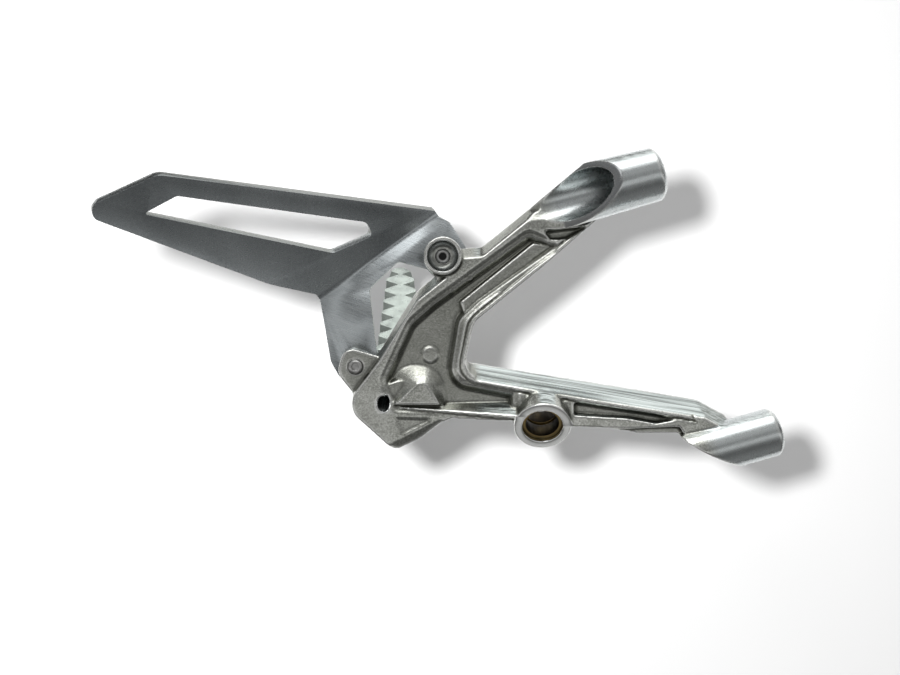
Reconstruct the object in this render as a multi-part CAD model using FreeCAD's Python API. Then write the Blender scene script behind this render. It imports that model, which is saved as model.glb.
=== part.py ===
import FreeCAD, Part
import math
import os

from FreeCAD import Vector

# Left-hand rider footrest hanger of a motorcycle: a cast bracket with two arms that end in bolt tubes,
# a folded heel guard screwed to its outer side, a folding footpeg and a bushed bore for a pedal shaft.
#
# Part frame: +X forward, +Y outboard (the way the footpeg points), +Z up. The origin is on the axis of
# the pedal bore, where its inner bush starts. The casting leans: its inboard face is drawn in a web
# frame (u forward, v up the lean, w inboard, square to the face) whose origin is the centre of the
# boss's inboard face. It turns about X into the part frame, and the walls of the casting are drawn
# off along Y, so the tops of the arms show as flat bands from above.

# Lean and levels of the casting
LEAN = 37.0              # angle of the web from upright
RIM_W = 0.5              # rim face, above the boss's inboard face
WEB_DEPTH = 8.5          # depth of the web and the upper arm along Y
ARM_DEPTH = 11.5         # depth of the lower arm along Y
RECESS = 3.8             # depth of the recess behind the rim, square to the face
DRAFT = 2.6              # what a recess narrows by from its rim to its floor
RIM_STEP = 0.8           # shallow step between the rim and the recess
RIM_STEP_W = 1.6
RIM_GROOVE_W = 0.9       # groove along the rim beside the gap between the arms
RIM_GROOVE_DEPTH = 0.8
RIM_BEAD_W = 2.1         # bead between the gap's edge and the groove
BAND_IN = 1.0            # slope on the near edge of the lower arm's top: how far it comes in over the rim
BAND_SLOPE = 1.04        # and its fall across the arm
FLANGE_STEP = 2.6        # lower flange of the lower arm, behind the rim
BEVEL_SLOPE = 0.42       # bevel along the lower edge of the peg block

# Pedal boss and its bushes
BOSS_R = 12.2
BOSS_LEN = 20.5
PEDAL_BORE_R = 8.5
BUSH_WALL = 1.5
BUSH_LEN = 7.5
BUSH_SET_IN = 2.0

# Bolt tubes
TUBE_DIR = Vector(0.962, 0.258, -0.09)
UPPER_RISE = 107.0       # pedal bore to the seat end of the upper tube, up the lean
UPPER_END = Vector(49.2, UPPER_RISE, RIM_W + 3.0)
UPPER_R = 11.3
UPPER_FLARE = 1.8        # growth of the radius from the seat end to the mouth
UPPER_BORE_R = 9.6
UPPER_MOUTH = 37.0       # seat end to the centre of the slanted mouth
LOWER_REACH = 101.0      # pedal bore to the seat end of the lower tube
LOWER_END = Vector(LOWER_REACH, -2.1, RIM_W - 8.0)
LOWER_R = 10.4
LOWER_BORE_R = 8.2
LOWER_MOUTH = 30.0
TUBE_REACH = 62.0        # length of a tube before its mouth is cut
ARM_TOP = Vector(1.0, 98.1, 0)            # the upper arm's top runs on across the mouth of its tube
ARM_TOP_NORMAL = Vector(-0.629, 0.777, 0)
TUBE_CHAMFER = 2.2
SEAT_WALL = 8.0          # wall that the bolt head pulls on
FRAME_BOLT_R = 5.25      # clearance hole of an M10 bolt

# Heel guard
GUARD_T = 4.0
GUARD_FOLD = 36.0        # bend between the mounting legs and the blade
GUARD_LEN = 92.6         # fold to the blade's tip
FOLD_LEN = 62.5
GUARD_W = RIM_W - 10.2   # inboard face of the mounting legs
FOLD_START = Vector(-96.0, 55.3, 0)
FOLD_ANGLE = 35.06       # direction of the fold line in the web face
GUARD_SIDE_GAP = 0.5     # between the legs and the casting beside them
BEND_R = 5.0             # inside of the bend
SETBACK = BEND_R * math.tan(math.radians(GUARD_FOLD / 2))   # from the fold line to where the bend starts

# Guard lugs and screws
UPPER_LUG = Vector(-42.3, 72.3, 0)
LOWER_LUG = Vector(-79.4, 25.4, 0)
UPPER_LUG_R = 8.2
UPPER_LUG_TOP = RIM_W + 2.0
BOWL_R = 6.2
BOWL_RIM = 1.6           # depth of the bowl's wide outer step
BOWL_DEPTH = 4.0
LOWER_LUG_TOP = RIM_W - 2.0
SCREW_R = 3.0            # M6
SCREW_FIT = 0.03
SCREW_HEAD_R = 5.25
SCREW_HEAD_H = 3.3
SCREW_SOCKET = 4.0
TIP_SOCKET = 3.0

# Footpeg hinge and peg
PEG_X = -61.0
PIN_Y = 29.2
PIN_Z = 2.1
PIN_R = 4.0
PIN_FIT = 0.05
EAR_T = 6.0
EAR_R = 8.0
FORK_GAP = 12.0          # room between the two ears
TONGUE_T = 7.0
SIDE_PLAY = 0.3
BLOCK_BACK = 18.7        # outboard wall that the peg's heel stops on
STOP_GAP = 0.3
SHOULDER_GAP = 1.0       # between the ears and the shoulder of the peg
PEG_TIP_Y = 106.2
PEG_ROOT_W = 21.6
PEG_TOP_Z = PIN_Z + 8.0
PEG_ROOT_H = 15.0
PEG_TIP_H = 11.0
PEG_BEVEL = 3.0          # along the peg's lower edges
TOOTH_PITCH = 8.8
TOOTH_REACH = 6.0
TOOTH_DROP = 4.0
SPRING_WIRE = 0.7        # radius of the wire
SPRING_TURNS = 3
STOP_HOLE = Vector(-67.4, 9.6, 0)
STOP_HOLE_R = 2.6
STOP_HOLE_DEPTH = 14.0

BEYOND = 400.0           # blocks that cut away one side of a plane are this large, more than the whole part
THROUGH = 60.0           # length of a drill that goes right through a wall

INBOARD = Vector(0, 0, 1)
SIN = math.sin(math.radians(LEAN))
COS = math.cos(math.radians(LEAN))
DRAW = Vector(0, SIN, -COS)          # +Y of the part frame, seen in the web frame
BOSS_START = -BUSH_SET_IN


def leaned(shape):
    """Turn a shape from the web frame into the part frame."""
    turned = shape.copy()
    turned.rotate(Vector(), Vector(1, 0, 0), 90 - LEAN)
    turned.translate(Vector(0, BOSS_START, 0))
    return turned


def rounded(corners, level=0.0):
    """Closed wire through corners (x, y, radius) at height level, each corner an arc of its radius."""
    edges = []
    points = [Vector(x, y, level) for x, y, _ in corners]
    starts, ends = [], []
    for i, (_, _, radius) in enumerate(corners):
        here = points[i]
        back = (points[i - 1] - here).normalize()
        ahead = (points[(i + 1) % len(points)] - here).normalize()
        half = math.acos(max(-1.0, min(1.0, back.dot(ahead)))) / 2
        run = radius / math.tan(half)
        starts.append(here + back * run)
        ends.append(here + ahead * run)
        if radius > 0:
            middle = here + (back + ahead).normalize() * (radius / math.sin(half) - radius)
            edges.append(Part.Arc(starts[i], middle, ends[i]).toShape())
    joined = []
    arcs = iter(edges)
    for i, (_, _, radius) in enumerate(corners):
        if radius > 0:
            joined.append(next(arcs))
        following = starts[(i + 1) % len(corners)]
        if ends[i].distanceToPoint(following) > 1e-6:
            joined.append(Part.LineSegment(ends[i], following).toShape())
    return Part.Wire(joined)


def prism(corners, level, direction):
    return Part.Face(rounded(corners, level)).extrude(direction)


def drafted(corners, top, bottom, inset):
    """Solid between an outline at height top and the same outline shrunk by inset at height bottom.

    Corner arcs tighter than the inset run out in the shrunk outline, so it is grown again for the top."""
    lower = rounded(corners, bottom).makeOffset2D(-inset, 2)
    upper = lower.makeOffset2D(inset, 2).translated(Vector(0, 0, top - bottom))
    return Part.makeLoft([upper, lower], True, True)


def half_space(origin, normal):
    """Big block that fills the side of a plane that its normal points to."""
    block = Part.makeBox(BEYOND, BEYOND, BEYOND, Vector(-BEYOND / 2, -BEYOND / 2, 0))
    block.Placement = FreeCAD.Placement(origin, FreeCAD.Rotation(Vector(0, 0, 1), normal))
    return block


# Outlines in the web frame: u, v and the radius of each corner
WEB_OUTLINE = [
    (-25.6, 71.9, 4), (-4.1, 89.3, 0), (14.0, 97.0, 0), (28.0, UPPER_RISE - 9.0, 0),
    (28.0, UPPER_RISE - 16.0, 0), (21.5, 86.0, 3),
    (-1.1, 66.4, 30), (-29.0, 44.0, 10), (-33.9, 21.2, 7), (-8.0, 17.0, 0), (-8.0, 1.8, 0),
    (-39.5, 3.4, 6), (-51.9, -5.5, 20), (-62.9, -10.4, 5), (-81.6, 6.3, 8), (-80.0, 13.5, 3),
    (-68.5, 28.6, 0), (-60.3, 42.3, 12), (-53.5, 53.0, 8), (-41.0, 63.0, 0), (-36.0, 71.0, 0),
]
ARM_OUTLINE = [
    (-38.0, 21.86, 0), (LOWER_REACH - 34.4, 4.7, 6), (LOWER_REACH - 22.0, -2.0, 0),
    (LOWER_REACH - 21.0, -5.5, 0), (LOWER_REACH - 35.0, -4.9, 4),
    (41.2, -5.1, 12), (24.3, -2.1, 20), (0.0, 1.0, 0), (-14.6, 2.5, 0), (-38.0, 3.4, 0),
]
RECESS_OUTLINE = [
    (-46.5, 52.5, 3), (-6.0, 82.0, 3), (7.4, 76.6, 2.5), (-26.5, 52.5, 14), (-34.5, 45.0, 6),
    (-38.5, 19.5, 7), (-11.7, 14.4, 1.5), (-11.7, 5.0, 1.5), (-40.0, 7.0, 20), (-62.5, 8.0, 2.5),
    (-68.0, 18.5, 6), (-62.4, 30.5, 20), (-56.2, 44.0, 10),
]
ARM_RECESS = [(13.0, 11.0, 1.5), (50.0, 5.4, 0), (57.5, 3.0, 0), (48.0, 1.2, 0), (36.0, 3.4, 10), (13.0, 4.8, 0)]
PLATEAU = [(-35.5, 53.0, 0), (-4.0, 78.5, 2), (4.5, 76.5, 0), (-26.5, 54.0, 12), (-33.5, 47.5, 0)]
HUMP_BASE = [(-66.0, 9.4, 0), (-66.0, 26.5, 12.0), (-41.0, 26.5, 12.0), (-41.0, 9.4, 0)]
HUMP_TOP = [(-62.2, 9.4, 0), (-52.6, 18.6, 1.4), (-49.2, 18.2, 1.4), (-43.6, 9.4, 0)]
FACET = [(-62.5, 4.0, 0), (-46.0, 3.4, 0), (-59.5, -3.4, 0)]
GAP = [(21.5, 86.0, 0), (-1.1, 66.4, 30), (-29.0, 44.0, 10), (-33.9, 21.2, 7), (60.0, 5.8, 0)]
FLANGE = [(9.0, 0.2, 0), (36.0, -0.7, 6), (58.0, 0.2, 2), (64.0, -9.0, 0), (9.0, -9.0, 0)]
CORNER_POCKET = [(0.5, 82.8, 0), (20.5, 85.2, 0), (10.5, 79.6, 0), (3.0, 79.0, 0)]
TOP_EDGE = (Vector(-29.0, 20.38, 0), Vector(LOWER_REACH - 33.0, 4.47, 0))     # lower arm's top at the rim
BEVEL_EDGE = (Vector(-43.0, 3.5, 0), Vector(-70.0, -10.1, 0))                 # where the block's bevel starts
PAD = Vector(-47.6, 30.5, 0)
PAD_R = 3.4
FLOOR_W = RIM_W - RECESS


def wedge(edge, inset, reach, slope):
    """Everything over a slope that starts inset behind an edge of the rim and falls away from it."""
    start, end = edge
    along = (end - start).normalize()
    outward = INBOARD.cross(along)
    lift = 0.5
    section = [(-inset - lift / slope, RIM_W + lift), (reach, RIM_W + lift),
               (reach, RIM_W - slope * (reach + inset))]
    corners = [start + outward * out + INBOARD * level for out, level in section]
    return Part.Face(Part.makePolygon(corners + corners[:1])).extrude(end - start)


def rim_groove():
    """Groove beside the gap between the arms, with a bead left along the edge."""
    near = Part.Face(rounded(GAP, RIM_W - RIM_GROOVE_DEPTH).makeOffset2D(RIM_BEAD_W, 2))
    far = Part.Face(rounded(GAP, RIM_W - RIM_GROOVE_DEPTH).makeOffset2D(RIM_BEAD_W + RIM_GROOVE_W, 2))
    return far.cut(near).extrude(Vector(0, 0, 2 * RIM_GROOVE_DEPTH))


def rim_step():
    """Shallow ledge all round the recess."""
    wires = [rounded(RECESS_OUTLINE, RIM_W + 0.01).makeOffset2D(RIM_STEP_W, 2),
             rounded(RECESS_OUTLINE, RIM_W - RIM_STEP).makeOffset2D(RIM_STEP_W * 0.55, 2)]
    return Part.makeLoft(wires, True, True)


def web_and_arms():
    web = prism(WEB_OUTLINE, RIM_W, DRAW * WEB_DEPTH)
    body = web.fuse(prism(ARM_OUTLINE, RIM_W, DRAW * ARM_DEPTH)).removeSplitter()
    flange = prism(FLANGE, RIM_W + 1, Vector(0, 0, -FLANGE_STEP - 1))
    body = body.cut([drafted(RECESS_OUTLINE, RIM_W, FLOOR_W, DRAFT), rim_step()])
    body = body.cut([rim_groove(), flange, wedge(TOP_EDGE, BAND_IN, 8.0, BAND_SLOPE)])
    body = body.cut(drafted(ARM_RECESS, RIM_W, FLOOR_W + 1.0, DRAFT * 0.4))
    body = body.cut(drafted(CORNER_POCKET, RIM_W, RIM_W - 1.8, 0.6))
    body = body.cut(drafted(FACET, RIM_W, RIM_W - 0.5, 0.45))
    plateau = drafted(PLATEAU, FLOOR_W - 0.5, FLOOR_W + 2.0, 0.5)
    hump = Part.makeLoft([rounded(HUMP_BASE, FLOOR_W - 0.2), rounded(HUMP_TOP, RIM_W + 1.2)], True, True)
    pad = Part.makeCylinder(PAD_R, 1.1, PAD + Vector(0, 0, FLOOR_W - 0.5), INBOARD)
    return body.fuse([plateau, hump, pad])


def pedal_shelf():
    """Ridge along the lower edge that rises from the peg block to the pedal boss, sloping up to the web."""
    root = FLOOR_W - 0.5
    thin = [Vector(-60.0, 9.6, root), Vector(-60.0, 8.2, RIM_W), Vector(-60.0, 4.5, root)]
    thick = [Vector(-8.0, 11.2, root), Vector(-8.0, 4.2, RIM_W + 3.4), Vector(-8.0, 1.9, root)]
    ends = [Part.makePolygon(end + end[:1]) for end in (thin, thick)]
    return Part.makeLoft(ends, True, True)


def peg_block():
    """Block behind the lower left corner, down to the upright wall that the peg stops on."""
    outline = [(-39.5, 4.5, 4), (-51.9, -5.5, 20), (-62.9, -10.4, 5), (-81.6, 6.3, 8), (-76.0, 14.0, 6),
               (-60.0, 20.0, 6), (-46.0, 14.0, 6)]
    block = leaned(prism(outline, RIM_W - 1.5, DRAW * THROUGH))
    return block.common(half_space(Vector(0, BLOCK_BACK, 0), Vector(0, -1, 0)))


def pin_hole():
    return Part.makeCylinder(PIN_R + PIN_FIT, THROUGH, Vector(PEG_X - THROUGH / 2, PIN_Y, PIN_Z), Vector(1, 0, 0))


def peg_fork():
    """Two ears that carry the peg's pin."""
    half = FORK_GAP / 2
    ears = []
    for inner in (PEG_X - half - EAR_T, PEG_X + half):
        flank = [(BLOCK_BACK - 8, PIN_Z - EAR_R - 1.5, 0), (PIN_Y + EAR_R, PIN_Z - EAR_R, EAR_R - 0.01),
                 (PIN_Y + EAR_R, PIN_Z + EAR_R, EAR_R - 0.01), (BLOCK_BACK - 8, PIN_Z + EAR_R + 1.0, 0)]
        ear = Part.Face(rounded(flank)).extrude(Vector(0, 0, EAR_T))
        ear.rotate(Vector(), Vector(1, 1, 1), 120)
        ear.translate(Vector(inner, 0, 0))
        ears.append(ear)
    return ears


def tube(end, radius, flare):
    """Tube from its seat end back along the axis, wider towards the mouth by flare."""
    back = Vector(TUBE_DIR).normalize() * -1
    if flare > 0:
        body = Part.makeCone(radius, radius + flare, TUBE_REACH, end, back)
    else:
        body = Part.makeCylinder(radius, TUBE_REACH, end, back)
    rim = [e for e in body.Edges if e.Closed and e.CenterOfMass.distanceToPoint(end) < 1e-6]
    return body.makeChamfer(TUBE_CHAMFER, rim)


def tube_bore(end, radius):
    axis = Vector(TUBE_DIR).normalize()
    seat = end - axis * SEAT_WALL
    wide = Part.makeCylinder(radius, TUBE_REACH, seat, axis * -1)
    return wide.fuse(Part.makeCylinder(FRAME_BOLT_R, SEAT_WALL + 20, end + axis * 10, axis * -1))


def mouth(end, distance, inboard_slope, up_slope):
    """Everything beyond the slanted mouth of a tube."""
    axis = Vector(TUBE_DIR).normalize()
    across = INBOARD - axis * INBOARD.dot(axis)
    across.normalize()
    up = across.cross(axis)
    normal = axis * -1 + across * inboard_slope + up * up_slope
    return half_space(end - axis * distance, normal.normalize())


def hanger():
    upper = tube(UPPER_END, UPPER_R, UPPER_FLARE)
    upper = upper.cut([mouth(UPPER_END, UPPER_MOUTH, 1.45, 0.42), half_space(ARM_TOP, ARM_TOP_NORMAL)])
    lower = tube(LOWER_END, LOWER_R, 0.0).cut(mouth(LOWER_END, LOWER_MOUTH, -0.5, -1.12))
    spool = Part.makeCylinder(UPPER_LUG_R, UPPER_LUG_TOP - GUARD_W, UPPER_LUG + Vector(0, 0, GUARD_W), INBOARD)
    neck = prism([(-43.0, 60.0, 0), (-49.0, 67.0, 0), (-42.0, 74.0, 0), (-35.0, 71.5, 4), (-29.5, 69.8, 5),
                  (-24.0, 72.0, 0), (-30.0, 62.0, 0)], RIM_W - 1.5, DRAW * (WEB_DEPTH - 1))
    lug = prism([(-68.0, 12.0, 0), (-79.0, 12.5, 2), (-87.4, 22.8, 7), (-84.0, 34.2, 5), (-66.0, 28.8, 2)],
                LOWER_LUG_TOP, Vector(0, 0, GUARD_W - LOWER_LUG_TOP))
    cast = [leaned(s) for s in (web_and_arms(), pedal_shelf(), upper, lower, spool, neck, lug)]
    boss = Part.makeCylinder(BOSS_R, BOSS_LEN, Vector(0, BOSS_START, 0), Vector(0, 1, 0))
    body = boss.fuse(cast + [peg_block()] + peg_fork())
    holes = [guard_room(), leaned(wedge(BEVEL_EDGE, 0.0, 9.0, BEVEL_SLOPE)),
             leaned(tube_bore(UPPER_END, UPPER_BORE_R)), leaned(tube_bore(LOWER_END, LOWER_BORE_R)),
             Part.makeCylinder(PEDAL_BORE_R, BOSS_LEN + 20, Vector(0, -10, 0), Vector(0, 1, 0)),
             pin_hole()]
    for centre in (UPPER_LUG, LOWER_LUG):
        holes.append(leaned(Part.makeCylinder(SCREW_R, THROUGH, centre - INBOARD * THROUGH / 2, INBOARD)))
    for radius, depth in ((BOWL_R, BOWL_RIM), (BOWL_R - 1.5, BOWL_DEPTH)):
        bowl = Part.makeCylinder(radius, depth + 1, UPPER_LUG + Vector(0, 0, UPPER_LUG_TOP - depth), INBOARD)
        holes.append(leaned(bowl))
    start = leaned(Part.Vertex(STOP_HOLE + Vector(0, 0, RIM_W))).Point
    holes.append(Part.makeCylinder(STOP_HOLE_R, STOP_HOLE_DEPTH + 5, start - Vector(0, 5, 0), Vector(0, 1, 0)))
    return body.cut(holes).removeSplitter()


# Outlines of the guard before it is folded: along the fold, and away from it
BLADE = [(0.0, 0.0, 0), (0.0, SETBACK, 0), (-12.9, 18.6, 40), (-52.5, GUARD_LEN - 2.1, 4), (-46.0, GUARD_LEN, 3),
         (-20.5, GUARD_LEN - 5.0, 7), (FOLD_LEN, SETBACK, 0), (FOLD_LEN, 0.0, 0)]
SLOT = [(-35.0, GUARD_LEN - 14.8, 0.8), (-20.0, GUARD_LEN - 16.8, 2.5), (35.6, 16.4, 3.5), (34.5, 9.0, 2.5),
        (16.5, 13.4, 4)]
LEGS = [(0.0, SETBACK, 0), (0.0, 0.0, 0), (FOLD_LEN, 0.0, 0), (FOLD_LEN, SETBACK, 0), (64.8, 6.0, 4),
        (64.2, 25.5, 9), (45.0, 27.0, 8), (45.5, 17.3, 2), (37.0, 7.2, 2.5), (20.0, 9.6, 4), (8.5, 31.0, 3),
        (4.0, 42.0, 8), (-13.0, 41.5, 9), (-11.5, 26.0, 8)]


def bend_section():
    """Section of the bend, from the end of the legs round to the start of the blade."""
    centre = Vector(0, -SETBACK, BEND_R)

    def on_arc(radius, degrees):
        angle = math.radians(degrees)
        return centre + Vector(0, math.sin(angle), -math.cos(angle)) * radius

    inner = [on_arc(BEND_R, GUARD_FOLD * share) for share in (0, 0.5, 1)]
    outer = [on_arc(BEND_R + GUARD_T, GUARD_FOLD * share) for share in (1, 0.5, 0)]
    edges = [Part.Arc(*inner).toShape(), Part.LineSegment(inner[2], outer[0]).toShape(),
             Part.Arc(*outer).toShape(), Part.LineSegment(outer[2], inner[0]).toShape()]
    return Part.Face(Part.Wire(edges))


def heel_guard():
    """Blade and mounting legs from one sheet, folded along a slanted line."""
    along = Vector(1, 0, 0)
    strip = Part.makeBox(BEYOND, 2 * SETBACK, 4 * GUARD_T, Vector(-BEYOND / 2, -SETBACK, -2 * GUARD_T))
    blade = prism(BLADE, 0, Vector(0, 0, -GUARD_T)).cut([prism(SLOT, 1, Vector(0, 0, -GUARD_T - 2)), strip])
    blade.rotate(Vector(), along, GUARD_FOLD)
    legs = prism([(s, -t, r) for s, t, r in LEGS], 0, Vector(0, 0, -GUARD_T)).cut(strip)
    bend = bend_section().extrude(along * FOLD_LEN)
    sheet = blade.fuse([legs, bend]).removeSplitter()
    sheet.rotate(Vector(), INBOARD, FOLD_ANGLE)
    sheet.translate(FOLD_START + Vector(0, 0, GUARD_W))
    holes = [Part.makeCylinder(SCREW_R + 0.3, THROUGH, centre - INBOARD * THROUGH / 2, INBOARD)
             for centre in (UPPER_LUG, LOWER_LUG)]
    return leaned(sheet.cut(holes))


def guard_room():
    """Space that the casting leaves free behind its lugs for the guard's legs."""
    outline = rounded([(s, -t, r) for s, t, r in LEGS]).makeOffset2D(GUARD_SIDE_GAP)
    room = Part.Face(outline).extrude(Vector(0, 0, -GUARD_T - GUARD_SIDE_GAP))
    room.rotate(Vector(), INBOARD, FOLD_ANGLE)
    room.translate(FOLD_START + Vector(0, 0, GUARD_W))
    return leaned(room)


def guard_screw(centre, tip):
    """Button head under the guard, shank through the lug; its end shows inboard, with a socket of its own."""
    under = GUARD_W - GUARD_T
    head = Part.makeCylinder(SCREW_HEAD_R, SCREW_HEAD_H, centre + Vector(0, 0, under), INBOARD * -1)
    crown = [e for e in head.Edges if abs(e.CenterOfMass.z - (under - SCREW_HEAD_H)) < 1e-6]
    head = head.makeChamfer(1.5, crown)
    shank = Part.makeCylinder(SCREW_R - SCREW_FIT, tip - under, centre + Vector(0, 0, under), INBOARD)
    end = [e for e in shank.Edges if abs(e.CenterOfMass.z - tip) < 1e-6 and e.Closed]
    shank = shank.makeChamfer(0.6, end)
    sockets = [hex_socket(centre + Vector(0, 0, under - SCREW_HEAD_H), SCREW_SOCKET, 2.2),
               hex_socket(centre + Vector(0, 0, tip), TIP_SOCKET, -1.8)]
    return leaned(head.fuse(shank).cut(sockets))


def hex_socket(centre, across_flats, depth):
    radius = across_flats / 2 / math.cos(math.radians(30))
    corners = [centre + Vector(radius * math.cos(math.radians(60 * i)), radius * math.sin(math.radians(60 * i)), 0)
               for i in range(7)]
    return Part.Face(Part.makePolygon(corners)).extrude(Vector(0, 0, depth))


def bush(start):
    outer = Part.makeCylinder(PEDAL_BORE_R, BUSH_LEN, Vector(0, start, 0), Vector(0, 1, 0))
    return outer.cut(Part.makeCylinder(PEDAL_BORE_R - BUSH_WALL, BUSH_LEN, Vector(0, start, 0), Vector(0, 1, 0)))


def footpeg():
    """Tapered peg with serrated edges, and the tongue that hinges on the pin."""
    shoulder = PIN_Y + EAR_R + SHOULDER_GAP
    left = PEG_X - PEG_ROOT_W / 2
    right = PEG_X + PEG_ROOT_W / 2
    plan = [(left, shoulder, 1.5), (left + 2.5, PEG_TIP_Y - 9, 6), (PEG_X - 3.2, PEG_TIP_Y, 4),
            (right - 6.8, PEG_TIP_Y - 7, 6), (right, shoulder, 1.5)]
    body = prism(plan, PEG_TOP_Z, Vector(0, 0, -PEG_ROOT_H))
    drop = PEG_ROOT_H - PEG_TIP_H
    under = Part.makePolygon([Vector(left - 1, shoulder, PEG_TOP_Z - PEG_ROOT_H),
                              Vector(left - 1, PEG_TIP_Y + 1, PEG_TOP_Z - PEG_ROOT_H + drop),
                              Vector(left - 1, PEG_TIP_Y + 1, PEG_TOP_Z - PEG_ROOT_H - 1),
                              Vector(left - 1, shoulder, PEG_TOP_Z - PEG_ROOT_H - 1),
                              Vector(left - 1, shoulder, PEG_TOP_Z - PEG_ROOT_H)])
    body = body.cut(Part.Face(under).extrude(Vector(PEG_ROOT_W + 2, 0, 0)))
    root_z = PEG_TOP_Z - PEG_ROOT_H
    run = PEG_TIP_Y - shoulder
    body = body.cut([lower_bevel(Vector(left, shoulder, root_z), Vector(2.5, run - 9, drop)),
                     lower_bevel(Vector(right, shoulder, root_z), Vector(-6.8, run - 7, drop))])
    cuts = []
    count = int((PEG_TIP_Y - 6 - shoulder) / TOOTH_PITCH)
    for i in range(count):
        at = shoulder + TOOTH_PITCH * (i + 0.8)
        share = (at - shoulder) / (PEG_TIP_Y - shoulder)
        cuts.append(notch(left + 2.8 * share, at, 1))
        cuts.append(notch(right - 7.0 * share, at, -1))
    body = body.cut(cuts)
    tongue_side = PEG_X + FORK_GAP / 2 - SIDE_PLAY
    tongue = [(BLOCK_BACK + STOP_GAP, PIN_Z - EAR_R, 1.0), (shoulder + 2, PEG_TOP_Z - PEG_ROOT_H + 0.5, 0),
              (shoulder + 2, PIN_Z + EAR_R - 0.5, 0), (PIN_Y - EAR_R + 1, PIN_Z + EAR_R - 0.5, 6.5),
              (PIN_Y - EAR_R + 1, PIN_Z - 2.5, 1.5), (BLOCK_BACK + STOP_GAP, PIN_Z - 3.5, 1.0)]
    plate = Part.Face(rounded(tongue)).extrude(Vector(0, 0, TONGUE_T))
    plate.rotate(Vector(), Vector(1, 1, 1), 120)
    plate.translate(Vector(tongue_side - TONGUE_T, 0, 0))
    return body.fuse(plate).cut(pin_hole()).removeSplitter()


def lower_bevel(root, edge):
    """Everything outside a slanted face along one of the peg's lower edges."""
    inward = 1 if edge.x > 0 else -1
    across = Vector(-inward, 0, 1)
    normal = across.cross(edge)
    if normal.z > 0:
        normal = normal * -1
    return half_space(root + Vector(inward * PEG_BEVEL, 0, 0), normal)


def notch(edge_x, at, inward):
    """V groove across the top edge, deepest at the side and running out towards the middle."""
    half = TOOTH_PITCH / 2 - 0.25
    out = edge_x - inward * 1.5
    top = PEG_TOP_Z + 1.5 * TOOTH_DROP / TOOTH_REACH
    deep = PEG_TOP_Z - TOOTH_DROP - 1.5 * TOOTH_DROP / TOOTH_REACH
    apex = Vector(edge_x + inward * TOOTH_REACH, at, PEG_TOP_Z + 0.001)
    mouth_wire = Part.makePolygon([Vector(out, at - half * 1.25, top), Vector(out, at, deep),
                                   Vector(out, at + half * 1.25, top), Vector(out, at - half * 1.25, top)])
    base = Part.Face(mouth_wire)
    corners = [Vector(out, at - half * 1.25, top), Vector(out, at, deep), Vector(out, at + half * 1.25, top)]
    sides = []
    for i in range(3):
        sides.append(Part.Face(Part.makePolygon([corners[i], corners[(i + 1) % 3], apex, corners[i]])))
    return Part.makeSolid(Part.makeShell([base] + sides))


def peg_spring():
    """Torsion spring round the pin: closed turns, one leg to the casting and one to the peg's shoulder."""
    coil_r = PIN_R + SPRING_WIRE + 0.4
    pitch = 2 * SPRING_WIRE - 0.05       # the coils touch each other
    corner = SPRING_WIRE * 1.2           # of the square that stands for the round wire
    section = [Vector(coil_r - corner, 0, 0), Vector(coil_r, 0, corner), Vector(coil_r + corner, 0, 0),
               Vector(coil_r, 0, -corner)]
    coil = Part.Face(Part.makePolygon(section + section[:1])).revolve(Vector(), INBOARD, 360)
    coils = [coil.translated(Vector(0, 0, pitch * i)) for i in range(SPRING_TURNS)]
    rise = pitch * (SPRING_TURNS - 1)
    spread = 0.22
    root = 0.8
    back = PIN_Y - BLOCK_BACK - STOP_GAP + root
    front = EAR_R + SHOULDER_GAP - STOP_GAP + root
    legs = [Part.makeCylinder(SPRING_WIRE, back, Vector(coil_r - spread * root, root, 0), Vector(spread, -1, 0)),
            Part.makeCylinder(SPRING_WIRE, front, Vector(coil_r - spread * root, -root, rise), Vector(spread, 1, 0))]
    spring = coils[0].fuse(coils[1:] + legs)
    spring.rotate(Vector(), Vector(0, 1, 0), 90)
    spring.translate(Vector(PEG_X - FORK_GAP / 2 + SPRING_WIRE + 0.25, PIN_Y, PIN_Z))
    return spring


def peg_pin():
    length = FORK_GAP + 2 * EAR_T
    start = PEG_X - length / 2
    shaft = Part.makeCylinder(PIN_R, length + 3.2, Vector(start - 0.3, PIN_Y, PIN_Z), Vector(1, 0, 0))
    head = Part.makeCylinder(PIN_R + 2.0, 2.4, Vector(start - 0.3, PIN_Y, PIN_Z), Vector(-1, 0, 0))
    groove_x = start + length + 0.4
    ring = Part.makeCylinder(PIN_R + 1, 1.0, Vector(groove_x, PIN_Y, PIN_Z), Vector(1, 0, 0))
    ring = ring.cut(Part.makeCylinder(PIN_R - 0.8, 1.0, Vector(groove_x, PIN_Y, PIN_Z), Vector(1, 0, 0)))
    return shaft.fuse(head).cut(ring)


def pin_clip():
    """E clip in the groove at the free end of the pin."""
    x = PEG_X + FORK_GAP / 2 + EAR_T + 0.45
    disc = Part.makeCylinder(PIN_R + 2.6, 0.9, Vector(x, PIN_Y, PIN_Z), Vector(1, 0, 0))
    inner = PIN_R - 0.75
    disc = disc.cut(Part.makeCylinder(inner, 0.9, Vector(x, PIN_Y, PIN_Z), Vector(1, 0, 0)))
    opening = Part.makeBox(2, inner * 1.7, 3 * PIN_R, Vector(x - 0.5, PIN_Y - inner * 0.85, PIN_Z - 3 * PIN_R))
    return disc.cut(opening)


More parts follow.
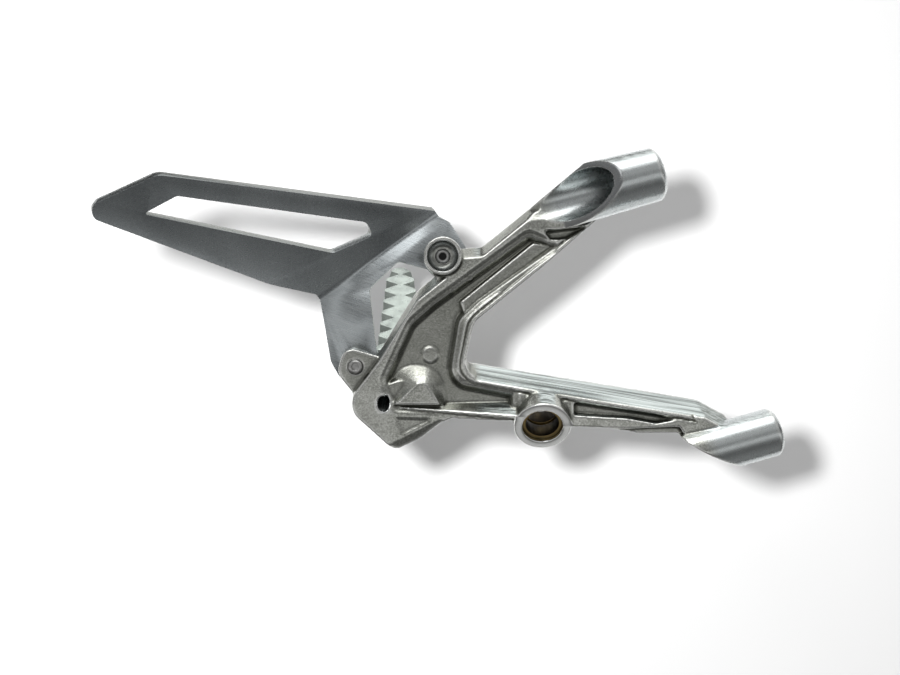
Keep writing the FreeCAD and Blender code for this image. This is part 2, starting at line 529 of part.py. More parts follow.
def main():
    os.makedirs("parts", exist_ok=True)
    outer_start = BOSS_START + BOSS_LEN - BUSH_SET_IN - BUSH_LEN
    nodes = {
        "hanger_casting": hanger(),
        "heel_guard": heel_guard(),
        "upper_guard_screw": guard_screw(UPPER_LUG, UPPER_LUG_TOP - BOWL_DEPTH + 1.2),
        "lower_guard_screw": guard_screw(LOWER_LUG, LOWER_LUG_TOP + 1.6),
        "inner_pivot_bush": bush(0.0),
        "outer_pivot_bush": bush(outer_start),
        "footpeg": footpeg(),
        "peg_pin": peg_pin(),
        "pin_clip": pin_clip(),
        "peg_spring": peg_spring(),
    }
    for name, shape in nodes.items():
        shape.exportStep("parts/%s.step" % name)
        box = shape.BoundBox
        print(name, "solids", len(shape.Solids), "valid", shape.isValid(), "volume %.0f" % shape.Volume,
              "x %.1f..%.1f y %.1f..%.1f z %.1f..%.1f" % (box.XMin, box.XMax, box.YMin, box.YMax, box.ZMin, box.ZMax))


main()
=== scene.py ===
import math

import bmesh
import bpy
import numpy as np
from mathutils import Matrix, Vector


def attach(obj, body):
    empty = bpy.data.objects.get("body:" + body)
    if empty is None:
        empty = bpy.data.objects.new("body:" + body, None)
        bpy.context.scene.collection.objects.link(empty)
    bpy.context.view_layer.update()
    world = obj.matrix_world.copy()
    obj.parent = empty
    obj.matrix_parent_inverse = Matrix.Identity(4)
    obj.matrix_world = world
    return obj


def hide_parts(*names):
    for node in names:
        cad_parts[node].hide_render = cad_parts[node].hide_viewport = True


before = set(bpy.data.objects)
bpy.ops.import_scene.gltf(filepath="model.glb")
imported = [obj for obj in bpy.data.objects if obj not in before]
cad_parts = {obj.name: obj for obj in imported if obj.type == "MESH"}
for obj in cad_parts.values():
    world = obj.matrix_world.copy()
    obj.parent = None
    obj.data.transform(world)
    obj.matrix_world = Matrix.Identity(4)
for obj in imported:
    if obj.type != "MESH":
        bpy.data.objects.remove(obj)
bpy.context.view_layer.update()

# The hanger casting: one aluminium casting with two arms, two bolt tubes, the pedal boss and the peg block.
# Its edges and roots are rounded as cast, its recess floors are grainy, and the tubes, the boss,
# the lugs and the top of the lower arm are machined or ground bright. Shade is painted into its recess floors,
# roots, side walls and the holes round the screws, highlights are painted onto its ridges, and a dark
# reflection is painted onto the slanted rim of the upper tube.
skin_cell = 0.00032          # cell of the even skin
skin_rounding = 32           # passes that round edges and roots
skin_share = 0.23            # share of triangles kept after rounding
cast_colour = (0.47, 0.48, 0.44, 1)
cast_dark = (0.31, 0.315, 0.285, 1)
cast_bright = (0.62, 0.625, 0.59, 1)
painted_wall_shade_colour = (0.20, 0.205, 0.195, 1)                # painted shade on the walls of the arms, which face across the view
# painted shade of the recess floors
recess_shade_colour = (0.26, 0.265, 0.235, 1)
# painted highlight on the ridges
ridge_highlight_colour = (0.86, 0.865, 0.84, 1)
# painted shade in the holes round the lug screws
screw_gap_shade_colour = (0.05, 0.05, 0.048, 1)
machined_colour = (0.60, 0.635, 0.635, 1)
ring_colour = (0.88, 0.89, 0.87, 1)                  # the boss's turned face
mouth_rim_reflection_colour = (0.19, 0.195, 0.20, 1)                # painted dark reflection on the slanted rim of the upper tube
face_way = (0.0, -0.7986, 0.6018)                    # the casting's face looks this way
tube_way = (0.962, 0.2271, 0.1519)                   # from the mouths of the tubes to their seats
band_way = (0.131, 0.105, 0.986)                     # the ground top of the lower arm looks this way
mouth_way = (-0.5217, -0.6163, 0.5899)               # and the mouth of the upper tube this way
# Places in the casting's finish: point on an axis, radius, where it starts along the axis and how far it fades in
upper_tube = ((0.0492, 0.0596, 0.0876), 0.0126, 0.037, 0.006)
lower_tube = ((0.101, 0.0027, -0.0062), 0.0108, 0.062, 0.006)
upper_bore = (upper_tube[0], 0.0097, 0.020, 0.012)
upper_rim = (upper_tube[0], 0.0140, 0.029, 0.001)
boss_face = ((0.0, 0.0, 0.0), 0.0124, 0.0006, 0.0006)
band_start = -0.030                                  # where the lower arm's ground top starts, along X
rim_level = 0.0020                                   # of the casting's rim, along face_way
floor_drop = 0.0022                                  # below it the skin gets the painted shade of a recess floor
upper_lug = (-0.0423, 0.0415, 0.0577)
lower_lug = (-0.0794, 0.0133, 0.0203)
thread_radius = 0.0033
bowl_radius = 0.0066                                 # bowl of the upper lug
bowl_depth = 0.0040
bowl_seat = 0.0035                                   # radius of the flat that the screw's end stands in
stop_centre = (-0.0674, 0.0100, 0.0080)              # stop hole, drilled along Y
stop_radius = 0.0026
stop_depth = 0.0055
relief_span = 900.0                                  # curvature in 1/m, from the deepest root to the highest ridge
relief_passes = 8


def linked(name, data):
    """New object in the scene."""
    made = bpy.data.objects.new(name, data)
    bpy.context.scene.collection.objects.link(made)
    return made


def cad_copy(node):
    """Mesh of a CAD node with its doubled points joined and no material."""
    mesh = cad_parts[node].data.copy()
    joined = bmesh.new()
    joined.from_mesh(mesh)
    bmesh.ops.remove_doubles(joined, verts=joined.verts, dist=1e-7)
    bmesh.ops.dissolve_limit(joined, angle_limit=math.radians(0.3), verts=joined.verts, edges=joined.edges)
    joined.to_mesh(mesh)
    joined.free()
    mesh.materials.clear()
    return mesh


def settled(rough, name):
    """New object from what the modifiers of rough make; rough itself goes."""
    finished = bpy.data.meshes.new_from_object(rough.evaluated_get(bpy.context.evaluated_depsgraph_get()))
    bpy.data.objects.remove(rough)
    finished.name = name
    return linked(name, finished)


def rounded_copy(node, name, cell, rounding, share):
    """Closed copy of a CAD node on an even skin, with every edge and root rounded and spare triangles merged."""
    rough = linked(name + "_rough", cad_copy(node))
    even = rough.modifiers.new("even_skin", "REMESH")
    even.mode = "VOXEL"
    even.voxel_size = cell
    soft = rough.modifiers.new("rounding", "SMOOTH")
    soft.factor = 0.5
    soft.iterations = rounding
    light = rough.modifiers.new("fewer_faces", "DECIMATE")
    light.ratio = share
    piece = settled(rough, name)
    piece.data.shade_smooth()
    return piece


def read_points(mesh, what="co"):
    """Places of a mesh's points, or their normals, one to a row."""
    values = np.empty(len(mesh.vertices) * 3)
    mesh.vertices.foreach_get(what, values)
    return values.reshape(-1, 3)


def move_points(mesh, points):
    """Gives a mesh's points new places."""
    mesh.vertices.foreach_set("co", points.ravel())
    mesh.update()


def dished(mesh, centre, way, radius, depth, seat):
    """Turns the stepped bowl round a lug's axis into a smooth one.

    A point at r from the axis goes to the depth times the root of 1 - ((r - seat) / (radius - seat)) squared
    below the rim, outside the flat seat of the screw."""
    points = read_points(mesh)
    way = np.array(way)
    offset = points - np.array(centre)
    height = offset @ way
    out = np.linalg.norm(offset - height[:, None] * way, axis=1)
    rim = height[(out < radius + 0.001) & (out > radius)].max()
    inside = (out < radius) & (out > seat - 0.0006) & (height > rim - depth - 0.0003)
    share = np.clip((out[inside] - seat) / (radius - seat), 0, 1)
    wanted = rim - depth * np.sqrt(1 - share ** 2)
    points[inside] += (wanted - height[inside])[:, None] * way
    move_points(mesh, points)


def true_hole(mesh, centre, axis, radius, depth):
    """Moves the wall of a drilled hole, which the even skin left uneven, back to its radius.

    Points up to a quarter outside the radius belong to the wall where they face the axis more than they
    face along it. Only the wall less than depth beyond the centre is moved."""
    points, normals = read_points(mesh), read_points(mesh, "normal")
    axis = np.array(axis)
    offset = points - np.array(centre)
    out = offset - (offset @ axis)[:, None] * axis
    far = np.linalg.norm(out, axis=1)
    wall = (far < radius * 1.25) & (np.abs(normals @ axis) < 0.75) & (offset @ axis < depth)
    points[wall] += out[wall] * (radius / far[wall] - 1)[:, None]
    move_points(mesh, points)


def store_relief(mesh, span, passes):
    """Attribute relief on each point: 0.5 on flats, towards 1 on ridges and towards 0 in roots.

    The curvature along an edge is twice the dot product of the point's normal with the edge, over the
    edge's length squared. It is averaged over a point's edges, then passes times with its neighbours."""
    points, normals = read_points(mesh), read_points(mesh, "normal")
    ends = np.empty(len(mesh.edges) * 2, dtype=int)
    mesh.edges.foreach_get("vertices", ends)
    ends = ends.reshape(-1, 2)
    here = np.concatenate([ends[:, 0], ends[:, 1]])
    there = np.concatenate([ends[:, 1], ends[:, 0]])
    step = points[there] - points[here]
    curve = -2 * np.sum(normals[here] * step, axis=1) / np.maximum(np.sum(step * step, axis=1), 1e-12)
    count = np.bincount(here, minlength=len(points))
    relief = np.bincount(here, weights=curve, minlength=len(points)) / count
    for _ in range(passes):
        relief = 0.5 * relief + 0.5 * np.bincount(here, weights=relief[there], minlength=len(points)) / count
    stored = mesh.attributes.new("relief", "FLOAT", "POINT")
    stored.data.foreach_set("value", np.clip(0.5 + relief / span, 0, 1))


def metal_nodes(name):
    """Empty metal material: its node tree, its shader and a reader of Object coordinates."""
    material = bpy.data.materials.new(name)
    material.use_nodes = True
    tree = material.node_tree
    shader = tree.nodes["Principled BSDF"]
    shader.inputs["Metallic"].default_value = 1.0
    place = tree.nodes.new("ShaderNodeTexCoord")
    return material, tree, shader, place.outputs["Object"]


def vector_math(tree, operation, first, second, result="Vector"):
    """Vector math node of one or two vectors, each a tuple or a socket; second may be None."""
    node = tree.nodes.new("ShaderNodeVectorMath")
    node.operation = operation
    for socket, value in zip(node.inputs, (first, second)):
        if isinstance(value, (tuple, Vector)):
            socket.default_value = value
        elif value is not None:
            tree.links.new(value, socket)
    return node.outputs[result]


def combine(tree, operation, first, second):
    """Math node of two values, each a number or a socket."""
    node = tree.nodes.new("ShaderNodeMath")
    node.operation = operation
    for socket, value in zip(node.inputs, (first, second)):
        if isinstance(value, (int, float)):
            socket.default_value = value
        else:
            tree.links.new(value, socket)
    return node.outputs["Value"]


def noise(tree, place, scale, detail=4.0, stretch=None, turn=None):
    """Noise value over Object coordinates, drawn out along an axis where stretch is given."""
    if stretch or turn:
        mapping = tree.nodes.new("ShaderNodeMapping")
        mapping.vector_type = "TEXTURE"
        mapping.inputs["Scale"].default_value = stretch or (1, 1, 1)
        mapping.inputs["Rotation"].default_value = turn or (0, 0, 0)
        tree.links.new(place, mapping.inputs["Vector"])
        place = mapping.outputs["Vector"]
    texture = tree.nodes.new("ShaderNodeTexNoise")
    texture.inputs["Scale"].default_value = scale
    texture.inputs["Detail"].default_value = detail
    tree.links.new(place, texture.inputs["Vector"])
    return texture.outputs["Fac"]


def ramp(tree, value, stops):
    """Colour ramp over value; stops are (position, colour)."""
    node = tree.nodes.new("ShaderNodeValToRGB")
    elements = node.color_ramp.elements
    while len(elements) < len(stops):
        elements.new(0.5)
    for element, (position, colour) in zip(elements, stops):
        element.position = position
        element.color = colour
    tree.links.new(value, node.inputs["Fac"])
    return node.outputs["Color"]


def spread(tree, value, low, high, start=0.0, end=1.0):
    """Value from start..end onto low..high."""
    node = tree.nodes.new("ShaderNodeMapRange")
    node.inputs["From Min"].default_value = start
    node.inputs["From Max"].default_value = end
    node.inputs["To Min"].default_value = low
    node.inputs["To Max"].default_value = high
    tree.links.new(value, node.inputs["Value"])
    return node.outputs["Result"]


def blend(tree, share, first, second, how="MIX"):
    """Colour mix; first and second are colours or sockets."""
    node = tree.nodes.new("ShaderNodeMix")
    node.data_type = "RGBA"
    node.blend_type = how
    node.clamp_result = True
    if isinstance(share, float):
        node.inputs[0].default_value = share
    else:
        tree.links.new(share, node.inputs[0])
    for socket, value in zip((node.inputs[6], node.inputs[7]), (first, second)):
        if isinstance(value, tuple):
            socket.default_value = value
        else:
            tree.links.new(value, socket)
    return node.outputs[2]


def bump(tree, shader, layers):
    """Bump of (height, strength, distance) layers, one on the other, into the shader's normal."""
    normal = None
    for height, strength, distance in layers:
        node = tree.nodes.new("ShaderNodeBump")
        node.inputs["Distance"].default_value = distance
        if isinstance(strength, float):
            node.inputs["Strength"].default_value = strength
        else:
            tree.links.new(strength, node.inputs["Strength"])
        tree.links.new(height, node.inputs["Height"])
        if normal is not None:
            tree.links.new(normal, node.inputs["Normal"])
        normal = node.outputs["Normal"]
    tree.links.new(normal, shader.inputs["Normal"])


def along(tree, vector, way):
    """How far a vector socket goes along a way."""
    return vector_math(tree, "DOT_PRODUCT", vector, tuple(Vector(way).normalized()), "Value")


def facing(tree, way):
    """1 where a face looks straight along way, -1 where it looks straight against it."""
    return along(tree, tree.nodes.new("ShaderNodeNewGeometry").outputs["Normal"], way)


def round_area(tree, place, point, way, radius):
    """1 within radius of a line, 0 further than half a millimetre outside it."""
    offset = vector_math(tree, "SUBTRACT", place, point)
    across = vector_math(tree, "CROSS_PRODUCT", offset, Vector(way).normalized())
    distance = vector_math(tree, "LENGTH", across, None, "Value")
    return spread(tree, distance, 1.0, 0.0, radius, radius + 0.0005)


def beyond(tree, place, way, start, width):
    """0 where the distance along way is under start, 1 where it is over start + width."""
    return spread(tree, along(tree, place, way), 0.0, 1.0, start, start + width)


def round_end(tree, place, way, point, radius, start, width):
    """1 in a round area about a line, beyond start along its way."""
    return combine(tree, "MULTIPLY", round_area(tree, place, point, way, radius),
                   beyond(tree, place, way, start, width))


def greatest(tree, first, *others):
    """Greatest of several values."""
    for other in others:
        first = combine(tree, "MAXIMUM", first, other)
    return first


def cast_finish():
    """Cast skin with painted shade in its recesses, roots, side walls and the holes round the screws,
    painted highlights on its ridges, a painted dark reflection on the upper tube's mouth rim, and machined places.
    """
    material, tree, shader, place = metal_nodes("cast_satin")
    machined = greatest(tree, round_end(tree, place, tube_way, *upper_tube),
                        round_end(tree, place, tube_way, *lower_tube),
                        round_area(tree, place, stop_centre, (0, 1, 0), stop_radius + 0.0002),
                        round_end(tree, place, tube_way, *upper_bore),
                        round_end(tree, place, face_way, upper_lug, bowl_radius, 0.0, 0.001))
    ring = round_end(tree, place, (0, -1, 0), *boss_face)
    ground = combine(tree, "MULTIPLY", spread(tree, facing(tree, band_way), 0.0, 1.0, 0.93, 0.97),
                     beyond(tree, place, (1, 0, 0), band_start, 0.004))
    ground = combine(tree, "MULTIPLY", ground, spread(tree, ring, 1.0, 0.0))

    cloud = combine(tree, "ADD", combine(tree, "MULTIPLY", noise(tree, place, 1250, 3), 0.65),
                    combine(tree, "MULTIPLY", noise(tree, place, 110, 3), 0.35))
    skin = ramp(tree, cloud, [(0.34, cast_dark), (0.50, cast_colour), (0.66, cast_bright)])
    # painted shade: the skin below the rim level darkens as a recess floor in shade
    recess_shade_share = spread(tree, beyond(tree, place, face_way, rim_level - floor_drop, floor_drop), 0.55, 0.0)
    skin = blend(tree, recess_shade_share, skin, recess_shade_colour)
    # painted shade: faces that look across the view, the walls of the arms, are darkened
    wall_shade_share = spread(tree, combine(tree, "ABSOLUTE", facing(tree, face_way), 0.0), 0.75, 0.0, 0.10, 0.62)
    skin = blend(tree, wall_shade_share, skin, painted_wall_shade_colour)
    skin = blend(tree, machined, skin, machined_colour)
    skin = blend(tree, ring, skin, ring_colour)
    # painted shade: near black in the holes round the screws of both lugs
    screw_gap_shade_share = greatest(tree, round_area(tree, place, upper_lug, face_way, thread_radius),
                       round_area(tree, place, lower_lug, face_way, thread_radius))
    skin = blend(tree, screw_gap_shade_share, skin, screw_gap_shade_colour)
    streaks = noise(tree, place, 1100, 3, stretch=(60, 1, 1), turn=(0, 0.13, -0.0985))
    lines = ramp(tree, streaks, [(0.36, (0.26, 0.27, 0.26, 1)), (0.50, (0.66, 0.68, 0.66, 1)),
                                 (0.66, (0.98, 1, 0.98, 1))])
    skin = blend(tree, ground, skin, blend(tree, 1.0, machined_colour, lines, "MULTIPLY"))

    relief = tree.nodes.new("ShaderNodeAttribute")
    relief.attribute_name = "relief"
    # painted shade: the roots, where relief is low, are multiplied darker
    roots = ramp(tree, relief.outputs["Fac"], [(0.12, (0.30, 0.30, 0.28, 1)), (0.42, (0.90, 0.90, 0.90, 1)),
                                               (0.52, (1, 1, 1, 1))])
    skin = blend(tree, 1.0, skin, roots, "MULTIPLY")
    # painted highlight: the ridges, where relief is high, are mixed towards a bright colour
    skin = blend(tree, spread(tree, relief.outputs["Fac"], 0.0, 0.6, 0.58, 0.82), skin, ridge_highlight_colour)
    # painted reflection: the slanted rim of the upper tube's mouth, where it faces mouth_way, is darkened
    rim = combine(tree, "MULTIPLY", spread(tree, facing(tree, mouth_way), 0.0, 0.85, 0.78, 0.93),
                  round_end(tree, place, tube_way, *upper_rim))
    skin = blend(tree, rim, skin, mouth_rim_reflection_colour)
    tree.links.new(skin, shader.inputs["Base Color"])

    rough = combine(tree, "ADD", spread(tree, noise(tree, place, 300, 3), 0.18, 0.30),
                    combine(tree, "MULTIPLY", machined, 0.03))
    tree.links.new(rough, shader.inputs["Roughness"])
    grain = spread(tree, greatest(tree, machined, ring, ground), 0.24, 0.07)
    bump(tree, shader, [(noise(tree, place, 1700, 3), grain, 0.0002), (noise(tree, place, 300, 4), grain, 0.0003),
                        (streaks, combine(tree, "MULTIPLY", ground, 0.5), 0.0002)])
    return material


hanger = rounded_copy("hanger_casting", "cast_hanger", skin_cell, skin_rounding, skin_share)
dished(hanger.data, upper_lug, face_way, bowl_radius, bowl_depth, bowl_seat)
true_hole(hanger.data, stop_centre, (0, 1, 0), stop_radius, stop_depth)
store_relief(hanger.data, relief_span, relief_passes)
hanger.data.materials.append(cast_finish())
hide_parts("hanger_casting")
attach(hanger, "hanger")

# The heel guard: 4 mm aluminium sheet, cut out with broken edges, folded along a slanted line and brushed
# lengthways, darker than the casting. The cut edges aren't brushed and are duller still.
guard_colour = (0.33, 0.365, 0.38, 1)
guard_light = (0.62, 0.67, 0.685, 1)
cut_colour = (0.19, 0.20, 0.185, 1)
scratch_dark = (0.22, 0.23, 0.24, 1)
scratch_light = (0.76, 0.77, 0.77, 1)
guard_edge = 0.0005
leg_way = face_way                                   # the legs lie square to the view, as the casting's face does
blade_way = (0.338, -0.936, 0.103)                   # and the blade looks this way


def bevelled_copy(node, name, width, angle=35.0):
    """Copy of a CAD node with its sharp edges broken by width."""
    rough = linked(name + "_rough", cad_copy(node))
    rough.data.shade_smooth()
    broken = rough.modifiers.new("broken_edges", "BEVEL")
    broken.width = width
    broken.segments = 3
    broken.limit_method = "ANGLE"
    broken.angle_limit = math.radians(angle)
    broken.harden_normals = True
    return settled(rough, name)


def brushed_finish():
    """Brushed sheet: long fine scratches, soft clouds and waves, dull cut edges."""
    material, tree, shader, place = metal_nodes("brushed_sheet")
    scratches = noise(tree, place, 2600, 3, stretch=(70, 1, 1), turn=(0, 0.22, -0.25))
    clouds = noise(tree, place, 30, 2, stretch=(1, 3, 3), turn=(0, -0.35, 0.2))
    shade = ramp(tree, clouds, [(0.32, guard_colour), (0.70, guard_light)])
    shade = blend(tree, 0.30, shade, ramp(tree, scratches, [(0.3, scratch_dark), (0.7, scratch_light)]))
    legs, blade = facing(tree, leg_way), facing(tree, blade_way)
    flats = greatest(tree, combine(tree, "ABSOLUTE", legs, 0.0), combine(tree, "ABSOLUTE", blade, 0.0))
    shade = blend(tree, spread(tree, flats, 1.0, 0.0, 0.35, 0.75), shade, cut_colour)
    tree.links.new(shade, shader.inputs["Base Color"])
    tree.links.new(spread(tree, scratches, 0.22, 0.34), shader.inputs["Roughness"])
    waves = noise(tree, place, 30, 1, stretch=(1, 3, 3), turn=(0, 0.7, 0))
    on_legs = spread(tree, legs, 0.10, 0.8, 0.94, 0.985)
    bump(tree, shader, [(waves, on_legs, 0.018), (scratches, 0.14, 0.0001)])
    return material


guard = bevelled_copy("heel_guard", "brushed_guard", guard_edge)
guard.data.materials.append(brushed_finish())
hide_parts("heel_guard")
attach(guard, "hanger")

# The footpeg: a forged aluminium peg with rows of cut teeth along both edges, bright satin, its edges broken.
peg_colour = (0.50, 0.555, 0.515, 1)
peg_dull = (0.33, 0.365, 0.34, 1)
peg_edge = 0.0004


def peg_finish():
    """Satin metal with soft patches."""
    material, tree, shader, place = metal_nodes("peg_satin")
    shade = ramp(tree, noise(tree, place, 190, 5), [(0.3, peg_dull), (0.6, peg_colour)])
    tree.links.new(shade, shader.inputs["Base Color"])
    tree.links.new(spread(tree, noise(tree, place, 400, 2), 0.22, 0.36), shader.inputs["Roughness"])
    bump(tree, shader, [(noise(tree, place, 1100, 3), 0.22, 0.0002)])
    return material


peg = bevelled_copy("footpeg", "satin_peg", peg_edge)
peg.data.materials.append(peg_finish())
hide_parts("footpeg")
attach(peg, "peg")

# Screws, pin and clip: zinc-plated steel, their edges broken. The socket in the end of the upper screw,
# which stands in the bowl of its lug, is painted nearly black as shade.
steel_colour = (0.60, 0.60, 0.59, 1)
steel_dull = (0.36, 0.36, 0.35, 1)
# painted shade in the upper screw's socket
socket_shade_colour = (0.03, 0.03, 0.03, 1)
socket_radius = 0.0015
steel_edge = 0.00015


def steel_finish():
    """Zinc-plated steel with painted shade in the socket round the axis of the upper screw."""
    material, tree, shader, place = metal_nodes("zinc_steel")
    shade = ramp(tree, noise(tree, place, 420, 4), [(0.35, steel_dull), (0.65, steel_colour)])
    # painted shade: the socket of the upper screw is near black
    socket = round_area(tree, place, upper_lug, face_way, socket_radius)
    shade = blend(tree, socket, shade, socket_shade_colour)
    tree.links.new(shade, shader.inputs["Base Color"])
    tree.links.new(spread(tree, noise(tree, place, 700, 2), 0.22, 0.40), shader.inputs["Roughness"])
    bump(tree, shader, [(noise(tree, place, 2000, 2), 0.12, 0.0001)])
    return material


steel = steel_finish()
for node, name in (("upper_guard_screw", "guard_screw_top"), ("lower_guard_screw", "guard_screw_low"),
                   ("peg_pin", "hinge_pin"), ("pin_clip", "e_clip")):
    piece = bevelled_copy(node, name, steel_edge)
    piece.data.materials.append(steel)
    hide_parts(node)
    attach(piece, "hanger")

# The peg's torsion spring: round wire, two turns round the pin, with one leg on the peg block and one on
# the shoulder of the peg.
wire_radius = 0.0007
wire_sides = 12
wire_centre = (-0.06605, 0.0292, 0.0021)
coil_radius = 0.0051
coil_pitch = 0.00135
coil_turns = 2
coil_steps = 48              # points of the path in one turn
leg_spread = 0.22            # how far a leg drops for each metre of its run
leg_back = 0.0103
leg_front = 0.0087


def wire_mesh(name, path, radius, sides):
    """Round wire along a path: rings of points square to the path, each turned as little as it can be."""
    path = np.array(path)
    ways = np.gradient(path, axis=0)
    ways /= np.linalg.norm(ways, axis=1)[:, None]
    side = np.cross(ways[0], (1.0, 0.0, 0.0))
    rings = []
    for place, way in zip(path, ways):
        side = side - way * np.dot(side, way)
        side /= np.linalg.norm(side)
        other = np.cross(way, side)
        turns = np.arange(sides) * 2 * math.pi / sides
        rings.append(place + radius * (np.cos(turns)[:, None] * side + np.sin(turns)[:, None] * other))
    points = np.concatenate(rings)
    faces = []
    for ring in range(len(path) - 1):
        for i in range(sides):
            a, b = ring * sides + i, ring * sides + (i + 1) % sides
            faces.append((a, b, b + sides, a + sides))
    last = (len(path) - 1) * sides
    faces.append(tuple(reversed(range(sides))))
    faces.append(tuple(last + i for i in range(sides)))
    mesh = bpy.data.meshes.new(name)
    mesh.from_pydata([tuple(p) for p in points], [], faces)
    mesh.shade_smooth()
    return mesh


def spring_path():
    """Back leg, turns and front leg: x along the pin, the coil's lowest point where the legs leave it."""
    turn = np.linspace(0, 2 * math.pi * coil_turns, coil_steps * coil_turns + 1)
    x = turn / (2 * math.pi) * coil_pitch
    y = coil_radius * np.sin(turn)
    z = -coil_radius * np.cos(turn)
    back = np.linspace(1, 0.04, 8)
    front = np.linspace(0.04, 1, 8)
    x = np.concatenate([0 * back, x, x[-1] + 0 * front])
    y = np.concatenate([-leg_back * back, y, leg_front * front])
    z = np.concatenate([-coil_radius - leg_spread * leg_back * back, z,
                        -coil_radius - leg_spread * leg_front * front])
    return np.stack([x, y, z], axis=1) + np.array(wire_centre)


spring = linked("torsion_spring", wire_mesh("spring_wire", spring_path(), wire_radius, wire_sides))
spring.data.materials.append(steel)
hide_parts("peg_spring")
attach(spring, "hanger")

# The pedal bushes: turned bronze with broken ends, painted dark as shade except on their end faces.
bronze_colour = (0.30, 0.22, 0.10, 1)
# painted shade of the bushes, varied at random between these two
bronze_shade_deep = (0.011, 0.008, 0.0045, 1)
bronze_shade_pale = (0.07, 0.053, 0.026, 1)
bronze_edge = 0.0003


def bronze_finish():
    """Bronze in its own colour on its end faces and painted dark as shade elsewhere."""
    material, tree, shader, place = metal_nodes("shaded_bronze")
    # painted shade over the bushes; their end faces keep the bronze's own colour
    shade = ramp(tree, noise(tree, place, 160, 4), [(0.46, bronze_shade_deep), (0.80, bronze_shade_pale)])
    end_faces_share = spread(tree, combine(tree, "ABSOLUTE", facing(tree, (0, 1, 0)), 0.0), 0.0, 1.0, 0.30, 0.70)
    tree.links.new(blend(tree, end_faces_share, shade, bronze_colour), shader.inputs["Base Color"])
    tree.links.new(spread(tree, noise(tree, place, 300, 2), 0.25, 0.5), shader.inputs["Roughness"])
    bump(tree, shader, [(noise(tree, place, 900, 2), 0.12, 0.0001)])
    return material


bronze = bronze_finish()
for node, name in (("inner_pivot_bush", "bronze_bush_inner"), ("outer_pivot_bush", "bronze_bush_outer")):
    piece = bevelled_copy(node, name, bronze_edge)
    piece.data.materials.append(bronze)
    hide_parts(node)
    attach(piece, "hanger")

# The stage: the hanger is seen square to its inboard face, in front of a white table top that stands square
# to the view, under a studio sky that is bright from the top of the picture and dark below the camera.
to_camera = Vector(face_way)
picture_up = Vector((0.0, 0.6018, 0.7986))
camera_place = (-0.0392, -0.4268, 0.3675)
camera_tilt = 53.0           # degrees from straight down
camera_lens = 52.96
table_depth = 0.090          # table top behind the pedal bore, along the view
table_size = (0.60, 0.46)
table_colour = (0.69, 0.69, 0.69, 1)
table_glow = 0.05            # what the table adds for the camera and for reflections
key_power = 5.8              # lamp beside the camera that gives the table its white and the soft shadow
key_size = 0.075
key_left = 0.120             # from the camera, across the picture
key_up = 0.070
top_place = (-0.35, -0.15, 1.1)
top_power = 1.5
top_size = 0.5
top_aim = (-0.03, 0.03, 0.03)
sky_way = (-0.12, 0.60, 0.80)      # up in the picture, where the sky is brightest
sky_stops = [(0.0, 0.55), (0.04, 0.22), (0.12, 0.17), (0.19, 0.11), (0.31, 0.16), (0.41, 0.68), (0.485, 0.76),
             (0.52, 0.24), (0.58, 0.20), (0.69, 0.50), (0.81, 0.45), (1.0, 0.32)]    # strength along sky_way
sky_behind = 0.12            # strength that is left behind the table
softboxes = [((0.0, 0.27, 0.96), 0.935, 0.985, 2.8),       # way, where its edge starts and ends, and strength:
             ((0.30, 0.70, 0.65), 0.84, 0.95, 1.3)]        # one over the camera, one over the table


def seen_rays(tree):
    """1 for rays that the camera, a mirror-like surface or glass sends out, 0 for light on the object."""
    path = tree.nodes.new("ShaderNodeLightPath")
    return greatest(tree, *[path.outputs[ray] for ray in ("Is Camera Ray", "Is Glossy Ray", "Is Transmission Ray")])


def table_finish():
    """White table that glows a little where it is seen, and is clear from behind so that the hanger shows."""
    material = bpy.data.materials.new("white_table")
    material.use_nodes = True
    tree = material.node_tree
    shader = tree.nodes["Principled BSDF"]
    shader.inputs["Base Color"].default_value = table_colour
    shader.inputs["Roughness"].default_value = 0.9
    shader.inputs["Specular IOR Level"].default_value = 0.0
    shader.inputs["Emission Color"].default_value = (1, 1, 1, 1)
    tree.links.new(combine(tree, "MULTIPLY", seen_rays(tree), table_glow), shader.inputs["Emission Strength"])
    clear = tree.nodes.new("ShaderNodeBsdfTransparent")
    two_sided = tree.nodes.new("ShaderNodeMixShader")
    back = tree.nodes.new("ShaderNodeNewGeometry")
    tree.links.new(back.outputs["Backfacing"], two_sided.inputs[0])
    tree.links.new(shader.outputs["BSDF"], two_sided.inputs[1])
    tree.links.new(clear.outputs["BSDF"], two_sided.inputs[2])
    tree.links.new(two_sided.outputs["Shader"], tree.nodes["Material Output"].inputs["Surface"])
    return material


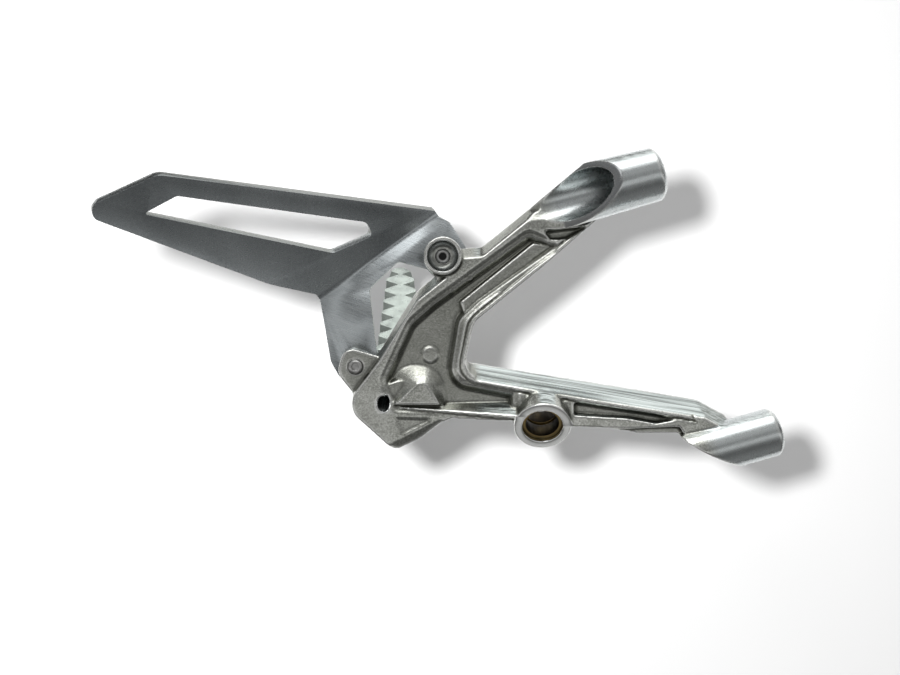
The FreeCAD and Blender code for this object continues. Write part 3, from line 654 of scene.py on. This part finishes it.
def studio_sky():
    """Bands of light along sky_way, dim behind the table, with the softboxes added; white for the camera."""
    sky = bpy.data.worlds.new("studio")
    sky.use_nodes = True
    tree = sky.node_tree
    background = tree.nodes["Background"]
    background.inputs["Color"].default_value = (1, 1, 1, 1)
    way = tree.nodes.new("ShaderNodeTexCoord").outputs["Generated"]
    height = spread(tree, along(tree, way, sky_way), 0.0, 1.0, -1.0, 1.0)
    strength = ramp(tree, height, [(stop, (level, level, level, 1)) for stop, level in sky_stops])
    front = spread(tree, along(tree, way, to_camera), sky_behind, 1.0, -0.40, -0.05)
    strength = combine(tree, "MULTIPLY", strength, front)
    for box_way, edge, full, box_strength in softboxes:
        box = spread(tree, along(tree, way, box_way), 0.0, box_strength, edge, full)
        strength = combine(tree, "ADD", strength, box)
    seen = tree.nodes.new("ShaderNodeLightPath").outputs["Is Camera Ray"]
    shown = tree.nodes.new("ShaderNodeMix")
    tree.links.new(seen, shown.inputs["Factor"])
    tree.links.new(strength, shown.inputs["A"])
    shown.inputs["B"].default_value = 1.0
    tree.links.new(shown.outputs["Result"], background.inputs["Strength"])
    return sky


def lamp(name, place, size, power, aim, mirrored=True):
    """Round soft lamp; one that isn't mirrored lights the table and casts the shadow, and no metal shows it."""
    light = bpy.data.lights.new(name, "AREA")
    light.shape = "DISK"
    light.size = size
    light.energy = power
    made = linked(name, light)
    made.location = place
    made.rotation_mode = "QUATERNION"
    made.rotation_quaternion = (Vector(aim) - Vector(place)).to_track_quat("-Z", "Y")
    made.visible_glossy = mirrored


table_mesh = bpy.data.meshes.new("table_top")
wide, tall = table_size[0] / 2, table_size[1] / 2
table_mesh.from_pydata([(-wide, -tall, 0), (wide, -tall, 0), (wide, tall, 0), (-wide, tall, 0)], [], [(0, 1, 2, 3)])
table_mesh.materials.append(table_finish())
table = linked("table_top", table_mesh)
table.location = (camera_place[0], -to_camera[1] * table_depth, -to_camera[2] * table_depth)
table.rotation_euler = (math.radians(camera_tilt), 0, 0)

bpy.context.scene.world = studio_sky()
key_place = Vector(camera_place) - Vector((key_left, 0, 0)) + picture_up * key_up
lamp("key", key_place, key_size, key_power, key_place - to_camera, mirrored=False)
lamp("top_lamp", top_place, top_size, top_power, top_aim)

lens = bpy.data.cameras.new("camera")
lens.lens = camera_lens
lens.sensor_width = 36
lens.clip_start = 0.01
camera = linked("camera", lens)
camera.location = camera_place
camera.rotation_euler = (math.radians(camera_tilt), 0, 0)
bpy.context.scene.camera = camera

bpy.context.scene.view_settings.view_transform = "Standard"
